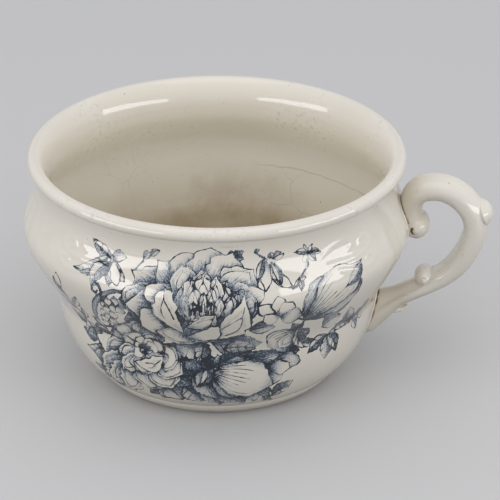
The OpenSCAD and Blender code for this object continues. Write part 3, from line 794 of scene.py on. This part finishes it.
hatch_at = {0: nodes.times(wash_across, 11.0), 1: nodes.times(wash_along, 2.2)}
hatch = nodes.noise(nodes.put("ShaderNodeCombineXYZ", hatch_at).outputs[0], 1.0, 2.0)
tone = nodes.times(wash, nodes.ramped(hatch, 0.3, 0.7, 0.72, 1.25))
tone = nodes.times(tone, nodes.ramped(stipple, 0.3, 0.7, 0.68, 1.34), clamp=True)
ink_share = nodes.math("MAXIMUM", tone, nodes.times(stroke, 0.95))
ink_colour = nodes.tinted(nodes.ramped(ink_share, 0.32, 0.95), pale_ink, deep_ink)
printed = nodes.tinted(nodes.ramped(ink_share, 0.06, 0.58), soiled, ink_colour)
nodes.feed(bowl_paint.node_tree.nodes["Principled BSDF"].inputs["Base Color"], printed)
bowl.data.materials.append(bowl_paint)
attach(bowl, "root")
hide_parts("bowl")

# The rolled rim: the upper edge of the clay wall, folded outwards into a round roll and smoothed while wet,
# and glazed with the bowl. Its inner side runs straight on into the bowl, and a groove shows under the roll.
roll_r, roll_seat = 4.4, 4.1
roll_c = np.array([110.6, 140.3])
crown = roll_c + (0, roll_r)
seat_turn = -np.arccos(np.sqrt(roll_r ** 2 - roll_seat ** 2) / roll_r)
turn = np.linspace(np.pi / 2, seat_turn, 44)
rim_section = joined(
    bezier(lip_in, lip_in + flare, crown - (2.9, 0), crown, 30),
    roll_c + roll_r * np.stack([np.cos(turn), np.sin(turn)], 1))
rim_section = np.concatenate([rim_section, [[110.0, lip[1]], [107.0, lip[1]]]])[::-1]


def ring_piece(name, section):
    """A closed section turned right round the upright axis, its faces outwards."""
    points = turned(section, cells)
    return lay_mesh(name, points.reshape(-1, 3), rings(0, *points.shape[:2], round_again=True))


rim = ring_piece("rolled_lip", rim_section)
rim_paint = glaze("rim_glaze", shade(176, 160, 132), 0.8)[0]
rim.data.materials.append(rim_paint)
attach(rim, "root")
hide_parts("rolled_rim")

# The foot ring: a low ring of clay turned under the bowl, its outside curving in to a narrow flat that the
# pot stands on. The flat is wiped clean of glaze before firing.
foot_r, bore_r, bore_round = 78.2, 58.5, 2.0
flat_in, flat_middle, flat_out = 64.0, 67.0, 69.5
foot_curve = np.array([[flat_out, 0.0], [72.5, 1.2], [77.8, 5.6], [foot_r, base_up]])
sweep = np.radians(np.linspace(180, 270, 10))
foot_section = np.concatenate([
    bezier(*foot_curve, 24),
    [[68.0, base_up], [bore_r, base_up], [bore_r, 6.0]],
    (bore_r + bore_round, bore_round) + bore_round * np.stack([np.cos(sweep), np.sin(sweep)], 1),
    [[flat_in, 0.0], [flat_middle, 0.0]]])
foot = ring_piece("turned_foot", foot_section)
foot_paint, nodes, aged = glaze("foot_glaze", shade(150, 128, 98), 0.8, 0.4)
nodes.feed(aged.inputs["Stain"], nodes.ramped(nodes.parts(nodes.spot())[2], 0.0, 0.004, 0.8, 0.08))
foot.data.materials.append(foot_paint)
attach(foot, "root")
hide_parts("foot_ring")

# The handle: a looped strap of the same clay, pressed in a two-part mould, so it is two halves that meet on
# the middle. Its leg lies on the shoulder, it arches out and sweeps back to the waist, where it spreads, and
# slip holds both ends. Below are its thicknesses, its widths and its stations along the loop.
arch_c, arch_r = np.array([133.0, 99.0]), 25.2
arch_from, arch_to = 97.0, -15.0
scroll_c = np.array([123.0, 99.7])
root_c = np.array([93.0, 34.9])
leg_t, arch_t, side_t, strap_t, root_t = 14.0, 16.0, 14.5, 11.6, 25.5
leg_w, arch_w, strap_w, root_w = 18.5, 22.5, 19.5, 25.0
leg_n, arch_n, strap_n = 41, 111, 151
strap_first = leg_n + arch_n - 2
root_trim, tail_run, tail_way = 5.1, 12.0, (0.70, 0.714)


def ease(t):
    """Smooth step from 0 to 1: 3t^2 - 2t^3."""
    t = np.clip(t, 0, 1)
    return t * t * (3 - 2 * t)


def arch_way(a):
    """Direction of travel over the arch at an angle in degrees."""
    return np.array([np.sin(np.radians(a)), -np.cos(np.radians(a))])


def on_arch(a):
    """Point of the arch's middle line at an angle in degrees."""
    return arch_c + arch_r * np.stack([np.cos(np.radians(a)), np.sin(np.radians(a))], -1)


leg_start, leg_end, strap_start = scroll_c - (3.3, 0), on_arch(arch_from), on_arch(arch_to)
leg_line = bezier(leg_start, leg_start + (-3.5, 15), leg_end - 10 * arch_way(arch_from), leg_end, leg_n)
arch_line = on_arch(np.linspace(arch_from, arch_to, arch_n))
strap_line = bezier(strap_start, strap_start + 40 * arch_way(arch_to), root_c + (25, 25.5), root_c, strap_n)
t_leg, t_arch, t_strap = (np.linspace(0, 1, n) for n in (leg_n, arch_n, strap_n))


def strap_size(side, slim, root, t):
    """Size along the strap: eased from side to slim by 0.55 of its length, and out to root from 0.72."""
    upper, lower = side + (slim - side) * ease(t / 0.55), slim + (root - slim) * ease((t - 0.72) / 0.28)
    return np.where(t < 0.55, upper, lower)


tail = np.linspace(0, tail_run, 13)[1:]
loop = np.concatenate([joined(leg_line, arch_line, strap_line), root_c - np.outer(tail, tail_way)])
loop_t = np.r_[(leg_t + (arch_t - leg_t) * ease(t_leg))[:-1],
               (arch_t + (side_t - arch_t) * ease(t_arch))[:-1],
               strap_size(side_t, strap_t, root_t, t_strap) - root_trim * ease((t_strap - 0.80) / 0.2),
               (root_t - root_trim) * np.sqrt(1 - (tail / (tail_run + 0.3)) ** 2)]
loop_w = np.r_[(leg_w + (arch_w - leg_w) * ease(t_leg / 0.8))[:-1], np.full(arch_n - 1, arch_w),
               strap_size(arch_w, strap_w, root_w, t_strap), root_w * (1 - 0.45 * (tail / tail_run) ** 2)]
loop_at = np.r_[t_leg[:-1], 1 + t_arch[:-1], 2 + t_strap, 3 + tail / 100][:, None]
loop_way = np.gradient(loop, axis=0)
loop_way /= np.hypot(*loop_way.T)[:, None]
loop_out = np.stack([-loop_way[:, 1], loop_way[:, 0]], 1)


def kept_out(points, depth):
    """Points no deeper in the bowl's wall than depth: nearer ones move straight out from its axis."""
    r = np.hypot(points[..., 0], points[..., 1])
    least = np.where(points[..., 2] > seat[1], bowl_out(points[..., 2]) - depth, 0)
    k = np.maximum(r, least) / np.maximum(r, 1e-6)
    return np.stack([points[..., 0] * k, points[..., 1] * k, points[..., 2]], -1)


def handle_half(name, side):
    """Half ovals set square to the loop's middle line: out by t/2 sin a, sideways by w/2 cos a. The inner
    side is squarer round the lower arch, with a groove along its edge; a ridge runs down the strap's face;
    and the skin swells a little to the knop and to the curl."""
    a = np.radians(np.linspace(-90, 90, 109))[None, :]
    boxy = ease((loop_at - 1.08) / 0.45) * (1 - ease((loop_at - 2.38) / 0.2)) * (a < 0)
    ridged = ease((loop_at - 2.37) / 0.07) * (1 - ease((loop_at - 2.80) / 0.14))
    line = np.radians(-26.0) + 0.94 * (loop_at - 2.6)
    ridge = 1.2 * hump(a, line, 0.075) - 0.45 * hump(a, line - 0.36, 0.24) - 0.25 * hump(a, line + 0.34, 0.2)
    raised = ridged * ridge - 0.55 * boxy * hump(a, -1.02 + 0.05 * np.sin(9 * loop_at), 0.08)
    raised = raised + 1.0 * hump(loop_at, 1.70, 0.13) * np.clip(np.sin(a), 0, 1) ** 3
    raised = raised + 1.3 * hump(loop_at, 2.50, 0.07) * np.clip(-np.sin(a), 0, 1) ** 3
    reach = 0.5 * loop_t[:, None] * np.abs(np.sin(a)) ** (1 - 0.3 * boxy) + raised * np.abs(np.sin(a))
    out = np.sign(a) * reach
    y = side * (0.5 * loop_w[:, None] * np.abs(np.cos(a)) ** (1 - 0.45 * boxy) + raised * np.cos(a))
    y[:, [0, -1]] = 0.0
    flat = loop[:, None, :] + loop_out[:, None, :] * out[..., None]
    points = kept_out(np.stack([flat[..., 0], y, flat[..., 1]], 2), 1.5)
    rows, count = points.shape[:2]
    faces = rings(0, rows, count) + [np.arange(count)[::-1], (rows - 1) * count + np.arange(count)]
    piece = lay_mesh(name, points.reshape(-1, 3), flipped(faces) if side < 0 else faces)
    off_wall = np.hypot(points[..., 0], points[..., 1]) - bowl_out(points[..., 2])
    upper_side = ease((points[..., 2] - 34) / 12) * np.where(points[..., 2] > 85, 0.3, 1.0)
    hold(piece.data, "crevice", "FLOAT", (hump(off_wall, 0.5, 1.1) * (0.25 + 0.75 * upper_side)).ravel())
    return piece


handle_paint, nodes, aged = glaze("handle_glaze", shade(190, 172, 138), 0.45)
spot = nodes.spot()
leg_stain = nodes.ramped(nodes.far(spot, (0.119, 0.0, 0.116)), 0.006, 0.024, 0.30, 0.0)
# The strap is painted a darker tan round its root.
root_darkening = nodes.ramped(nodes.far(spot, (0.103, 0.0, 0.050)), 0.008, 0.030, 0.34, 0.0)
nodes.feed(aged.inputs["Stain"], nodes.math("ADD", leg_stain, root_darkening))
nodes.feed(aged.inputs["Grime"], nodes.held("crevice"))
for name, side, node in (("handle_half_front", -1, "handle_front_half"),
                         ("handle_half_back", 1, "handle_back_half")):
    half_piece = handle_half(name, side)
    half_piece.data.materials.append(handle_paint)
    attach(half_piece, "root")
    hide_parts(node)

# The upper scroll: the loop's end rolled up against the shoulder, a short roll across the handle whose
# two ends are modelled as volutes with a deep eye. It is pressed with the handle and stuck on with slip.
scroll_r, scroll_half = 8.0, 11.7
roll_c_up = scroll_c + (-0.7, -0.5)


def capped(rows, count):
    """Faces of a closed grid and of its two ends, each drawn in to a point, numbered after the grid."""
    ring = np.arange(count)
    ends = flipped(fan(ring, rows * count)) + fan((rows - 1) * count + ring, rows * count + 1)
    return rings(0, rows, count) + ends


def roll_piece(name, centre, radius, half, round_p, round_q, eye_r, deep, slit_from, slit_to, depth=None):
    """A roll across the handle, domed at both ends: radius cos(b)^(2/p) about the centre, sideways
    half sin(b)^(2/q). On each end a small bead is left standing inside a curved slit, which runs between two
    angles."""
    a = np.radians(np.linspace(0, 360, 108, endpoint=False))[None, :]
    b = np.radians(np.linspace(-90, 90, 113))[1:-1, None]
    share = np.cos(b) ** (2 / round_p)
    end = np.sign(b) * half * np.abs(np.sin(b)) ** (2 / round_q)
    turn = np.degrees(a) % 360
    spread = ease((turn - slit_from) / 40) * (1 - ease((turn - slit_to) / 40))
    spiral = eye_r * (1.0 + 0.45 * (turn - slit_from) / 180)
    slit = deep * spread * hump(radius * share, spiral, 0.32 * eye_r)
    bead = 0.35 * deep * hump(radius * share, 0.0, 0.8 * eye_r)
    y = end + np.sign(b) * (bead - slit) * (np.abs(np.sin(b)) > 0.3)
    x, z = centre[0] + radius * share * np.cos(a), centre[1] + radius * share * np.sin(a)
    points = np.stack([x, y + 0 * a, z], 2)
    middle = np.array([[centre[0], way * (half + 0.35 * deep), centre[1]] for way in (-1, 1)])
    if depth is not None:
        points, middle = kept_out(points, depth), kept_out(middle, depth)
    faces = flipped(capped(*points.shape[:2]))
    piece = lay_mesh(name, np.concatenate([points.reshape(-1, 3), middle]), faces, 80.0)
    hold(piece.data, "crevice", "FLOAT", np.r_[np.clip(0.45 * slit, 0, 0.7).ravel(), 0.0, 0.0])
    return piece


scroll = roll_piece("scroll_end", roll_c_up, scroll_r, scroll_half, round_p=2.5, round_q=2.4, eye_r=2.4,
                    deep=1.7, slit_from=120, slit_to=225, depth=1.5)
scroll.data.materials.append(handle_paint)
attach(scroll, "root")
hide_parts("upper_scroll")

# The shoulder knop: a domed button on the outside of the arch, as a thumb rest, with a raised lip
# round it. It is pressed from clay, set on with slip and glazed with the handle.
knop_turn = np.radians(18.5)
knop_out = np.array([np.cos(knop_turn), np.sin(knop_turn)])
knop_up = np.array([-knop_out[1], knop_out[0]])
knop_w, knop_h, knop_proud, knop_sunk, knop_bed = 9.2, 7.7, 6.2, -4.0, 1.6
knop_at = arch_c + (arch_r + side_t / 2 - knop_bed) * knop_out
b = np.radians(np.linspace(-40, 90, 45))[:-1, None]
a = np.radians(np.linspace(0, 360, 96, endpoint=False))[None, :]
swell_out = 1 + 0.10 * hump(np.degrees(b), 8.0, 9.0)
side_way, up_way = knop_w * np.cos(b) * swell_out * np.cos(a), knop_h * np.cos(b) * swell_out * np.sin(a)
out_way = np.where(b > 0, knop_proud, -knop_sunk) * np.sin(b) + 0 * a
knop_points = np.stack([knop_at[0] + out_way * knop_out[0] + up_way * knop_up[0], side_way,
                        knop_at[1] + out_way * knop_out[1] + up_way * knop_up[1]], 2)
tips = [[x, 0.0, z] for x, z in (knop_at + knop_sunk * knop_out, knop_at + knop_proud * knop_out)]
knop_faces = capped(*knop_points.shape[:2])
knop = lay_mesh("thumb_knop", np.concatenate([knop_points.reshape(-1, 3), tips]), knop_faces)
knop.data.materials.append(handle_paint)
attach(knop, "root")
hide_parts("shoulder_knop")

# The inner curl: a second, smaller roll on the inside of the strap, with a little volute on each end.
# It is pressed with the handle from the same clay, and the glaze runs over both.
curl_r, curl_half, curl_t = 6.0, 9.6, 0.50
curl_k = strap_first + round(curl_t * (strap_n - 1))
curl_c = loop[curl_k] - loop_out[curl_k] * loop_t[curl_k] / 2
curl = roll_piece("strap_curl", curl_c, curl_r, curl_half, round_p=2.3, round_q=2.2, eye_r=1.6,
                  deep=0.5, slit_from=20, slit_to=250)
curl.data.materials.append(handle_paint)
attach(curl, "root")
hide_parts("inner_curl")

# The leaf tip: the end of a moulded leaf that lies along the outside of the strap and turns away from it
# in a small hooked tongue. It is pressed from the same clay, set on with slip and glazed with the handle.
tip_t = 0.785
tip_k = strap_first + round(tip_t * (strap_n - 1))
tip_c = loop[tip_k] + loop_out[tip_k] * loop_t[tip_k] / 2
tip_way, tip_out = loop_way[tip_k], loop_out[tip_k]
tongue = bezier(tip_c + 7.0 * tip_way - 3.5 * tip_out, tip_c + 1.4 * tip_way + 0.9 * tip_out,
                tip_c - 2.2 * tip_way + 2.2 * tip_out, tip_c - 5.4 * tip_way + 2.3 * tip_out, 40)
share = np.linspace(0, 1, 40)[1:-1, None]
tongue_way = np.gradient(tongue, axis=0)[1:-1]
tongue_way /= np.hypot(*tongue_way.T)[:, None]
tongue_out = np.stack([-tongue_way[:, 1], tongue_way[:, 0]], 1)
a = np.radians(np.linspace(0, 360, 40, endpoint=False))[None, :]
round_off = np.sqrt(np.clip(1 - (np.clip(share - 0.86, 0, 1) / 0.1401) ** 2, 0, 1))
tongue_w = (7.0 - 5.2 * share ** 1.5) * round_off
tongue_t = (3.2 - 2.4 * share) * round_off
flat = tongue[1:-1, None, :] + tongue_out[:, None, :] * (tongue_t * np.sin(a))[..., None]
tip_points = np.stack([flat[..., 0], tongue_w * np.cos(a), flat[..., 1]], 2)
tip_ends = [[x, 0.0, z] for x, z in (tongue[0], tongue[-1])]
tip_faces = capped(*tip_points.shape[:2])
tip = lay_mesh("leaf_tongue", np.concatenate([tip_points.reshape(-1, 3), tip_ends]), tip_faces)
tip.data.materials.append(handle_paint)
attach(tip, "root")
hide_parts("leaf_tip")

# The slip joints: beads of liquid clay that stick the scroll to the shoulder and the strap to the waist,
# wiped round with a finger. Dirt and glaze have gathered brown in them. The leg's last station along the loop
# and the root's first one say how much of it each bead meets.
leg_last, root_first = 60, 210


def to_loop(points, first, last):
    """Roughly how far points lie outside the loop's ovals between two stations, in millimetres."""
    pick = slice(first, last, 3)
    off = points[..., None, :][..., [0, 2]] - loop[pick]
    across = (off * loop_out[pick]).sum(-1) / (loop_t[pick] / 2)
    along = (off * loop_way[pick]).sum(-1) / (loop_t[pick] / 2)
    aside = points[..., None, 1] / (loop_w[pick] / 2)
    return ((np.sqrt(across ** 2 + along ** 2 + aside ** 2) - 1) * loop_t[pick] / 2).min(-1)


def to_upper(points):
    """How far points lie outside the leg or the scroll's roll, whichever is nearer."""
    flat = np.hypot(points[..., 0] - scroll_c[0], points[..., 2] - scroll_c[1]) / scroll_r
    whole = (flat ** 4 + (points[..., 1] / scroll_half) ** 4) ** 0.25
    return np.minimum((whole - 1) * scroll_r, to_loop(points, 0, leg_last))


def to_lower(points):
    """How far points lie outside the lower part of the strap."""
    return to_loop(points, root_first, len(loop))


def slip_bead(name, level, apart, size, high, even, soil):
    """A low roll along the line where a shape meets the bowl. The line is found on each ray over the bowl
    from a middle point and evened. The roll runs from 0.8 inside the shape to size out on the bowl, and its
    height is high * sin(pi x / size), with its crevice against the shape and its underside sunk in the wall.
    The dirt in the crevice has a least share, a height in degrees where it is thickest, and a spread."""
    ray = np.radians(np.linspace(0, 360, 240, endpoint=False))[:, None]
    far = np.linspace(0.5, 34, 240)[None, :]
    y, z = far * np.cos(ray), level + far * np.sin(ray)
    skin_points = np.stack([np.sqrt(bowl_out(z) ** 2 - y ** 2), y, z], 2)
    gap = apart(skin_points)
    hit = np.argmax(gap > 0, 1)
    k = np.arange(len(ray))
    part = np.clip(-gap[k, hit - 1] / (gap[k, hit] - gap[k, hit - 1]), 0, 1)
    run = far[0, hit - 1] * (1 - part) + far[0, hit] * part
    for _ in (0, 1):
        run = sum(np.roll(run, j) for j in range(-even, even + 1)) / (2 * even + 1)
    y, z = run * np.cos(ray[:, 0]), level + run * np.sin(ray[:, 0])
    meet = np.stack([np.sqrt(bowl_out(z) ** 2 - y ** 2), y, z], 1)
    ahead = np.roll(meet, -2, 0) - np.roll(meet, 2, 0)
    ahead /= np.linalg.norm(ahead, axis=1)[:, None]
    fall = (bowl_out(z + 0.4) - bowl_out(z - 0.4)) / 0.8
    square = np.concatenate([meet[:, :2] / np.hypot(meet[:, 0], meet[:, 1])[:, None], -fall[:, None]], 1)
    square /= np.linalg.norm(square, axis=1)[:, None]
    over_bowl = np.cross(ahead, square)
    over_bowl /= np.linalg.norm(over_bowl, axis=1)[:, None]
    x = np.linspace(-0.8, size, 21)[:, None, None]
    top = meet + x * over_bowl + (high * np.sin(np.pi * np.clip(x / size, 0, 1)) - 0.08) * square
    under = [meet + off * over_bowl - 0.9 * square for off in (size, -0.8)]
    points = np.concatenate([top, under])
    faces = flipped(rings(0, *points.shape[:2], round_again=True))
    piece = lay_mesh(name, points.reshape(-1, 3), faces, 70.0)
    least, thickest, spread = soil
    gathered = least + (1 - least) * hump(np.degrees(np.arcsin(np.sin(ray[:, 0]))), thickest, spread)
    dirty = np.r_[hump(x.ravel(), 0.1, 0.5), 0.0, 0.0][:, None] * gathered
    hold(piece.data, "crevice", "FLOAT", dirty.ravel())
    return piece


upper_bead = slip_bead("slip_bead_upper", level=105.0, apart=to_upper, size=1.6, high=0.45, even=4,
                       soil=(0.2, 80, 26))
lower_bead = slip_bead("slip_bead_lower", level=38.0, apart=to_lower, size=2.8, high=0.75, even=7,
                       soil=(0.45, 35, 50))
slip_paint, nodes, aged = glaze("stained_slip", shade(190, 172, 138), 0.4)
nodes.feed(aged.inputs["Stain"], 0.12)
nodes.feed(aged.inputs["Grime"], nodes.held("crevice"))
for bead, node in ((upper_bead, "upper_slip_joint"), (lower_bead, "lower_slip_joint")):
    bead.data.materials.append(slip_paint)
    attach(bead, "root")
    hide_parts(node)

# The camera stands at the photograph's angle. Two wide low softboxes leave their streaks on the rim and the
# shoulder, and a large one above and a plain pale world fill the rest. The floor is plain and pale to the eye
# and in the glaze, and dark to other rays, so that it throws little light up at the belly.
lean_down, swing = np.radians(26.87), np.radians(6.0)
back = np.array([np.sin(swing) * np.cos(lean_down), -np.cos(swing) * np.cos(lean_down), np.sin(lean_down)])
right = np.array([np.cos(swing), np.sin(swing), 0.0])
above = np.cross(back, right)
stand_off, aim_right, aim_up = 1.7, 0.0201, 0.0045
pivot = np.array([0, 0, 0.07])
eye = back * stand_off + pivot
target = pivot + right * aim_right + above * aim_up
camera = bpy.data.objects.new("camera", bpy.data.cameras.new("camera"))
camera.data.sensor_width = 36.0
camera.data.lens = 197.8
camera.data.clip_end = 50.0


def facing(obj, place, aim):
    """Stands an object at a place, its own -Z towards the aim and its Y upwards."""
    z = np.asarray(place, float) - aim
    z /= np.linalg.norm(z)
    x = np.cross((0, 0, 1), z)
    x /= np.linalg.norm(x)
    y = np.cross(z, x)
    m = np.eye(4)
    m[:3, 0], m[:3, 1], m[:3, 2], m[:3, 3] = x, y, z, place
    obj.matrix_world = Matrix(m.tolist())


facing(camera, eye, target)
bpy.context.scene.collection.objects.link(camera)
bpy.context.scene.camera = camera
pot_middle = (0, 0, 0.08)
for name, turn_deg, rise, far, wide, tall, power in (
        ("softbox_left", -49.0, 8.8, 1.4, 1.36, 0.33, 5.8),
        ("softbox_right", 64.5, 8.8, 1.4, 1.3, 0.33, 5.5),
        ("softbox_above", 4.0, 76.0, 2.0, 1.7, 1.7, 6.3)):
    lamp = bpy.data.lights.new(name, "AREA")
    lamp.shape = "RECTANGLE"
    lamp.size, lamp.size_y = wide, tall
    lamp.energy = power
    box = bpy.data.objects.new(name, lamp)
    a, e = np.radians(turn_deg), np.radians(rise)
    way = np.array([np.sin(a) * np.cos(e), -np.cos(a) * np.cos(e), np.sin(e)])
    facing(box, far * way + pot_middle, pot_middle)
    bpy.context.scene.collection.objects.link(box)
world = bpy.data.worlds.new("studio")
world.use_nodes = True
sky = world.node_tree.nodes["Background"].inputs
sky["Color"].default_value = (0.97, 0.97, 1.0, 1.0)
sky["Strength"].default_value = 0.72
bpy.context.scene.world = world
bpy.context.scene.view_settings.view_transform = "Standard"
reach = 6.0
floor = bpy.data.objects.new("floor", bpy.data.meshes.new("floor"))
corners = [(-reach, -reach, 0), (reach, -reach, 0), (reach, reach, 0), (-reach, reach, 0)]
floor.data.from_pydata(corners, [], [(0, 1, 2, 3)])
bpy.context.scene.collection.objects.link(floor)
floor_paint = bpy.data.materials.new("floor_paint")
floor_paint.use_nodes = True
nodes = Nodes(floor_paint.node_tree)
rays = nodes.put("ShaderNodeLightPath").outputs
looked_at = nodes.math("MAXIMUM", rays["Is Glossy Ray"], rays["Is Transmission Ray"])
looked_at = nodes.math("MAXIMUM", rays["Is Camera Ray"], looked_at)
floor_tone = nodes.tinted(looked_at, (0.1, 0.1, 0.1, 1.0), (0.62, 0.62, 0.62, 1.0))
floor_shader = floor_paint.node_tree.nodes["Principled BSDF"].inputs
nodes.feed(floor_shader["Base Color"], floor_tone)
nodes.feed(floor_shader["Roughness"], 0.8)
floor.data.materials.append(floor_paint)
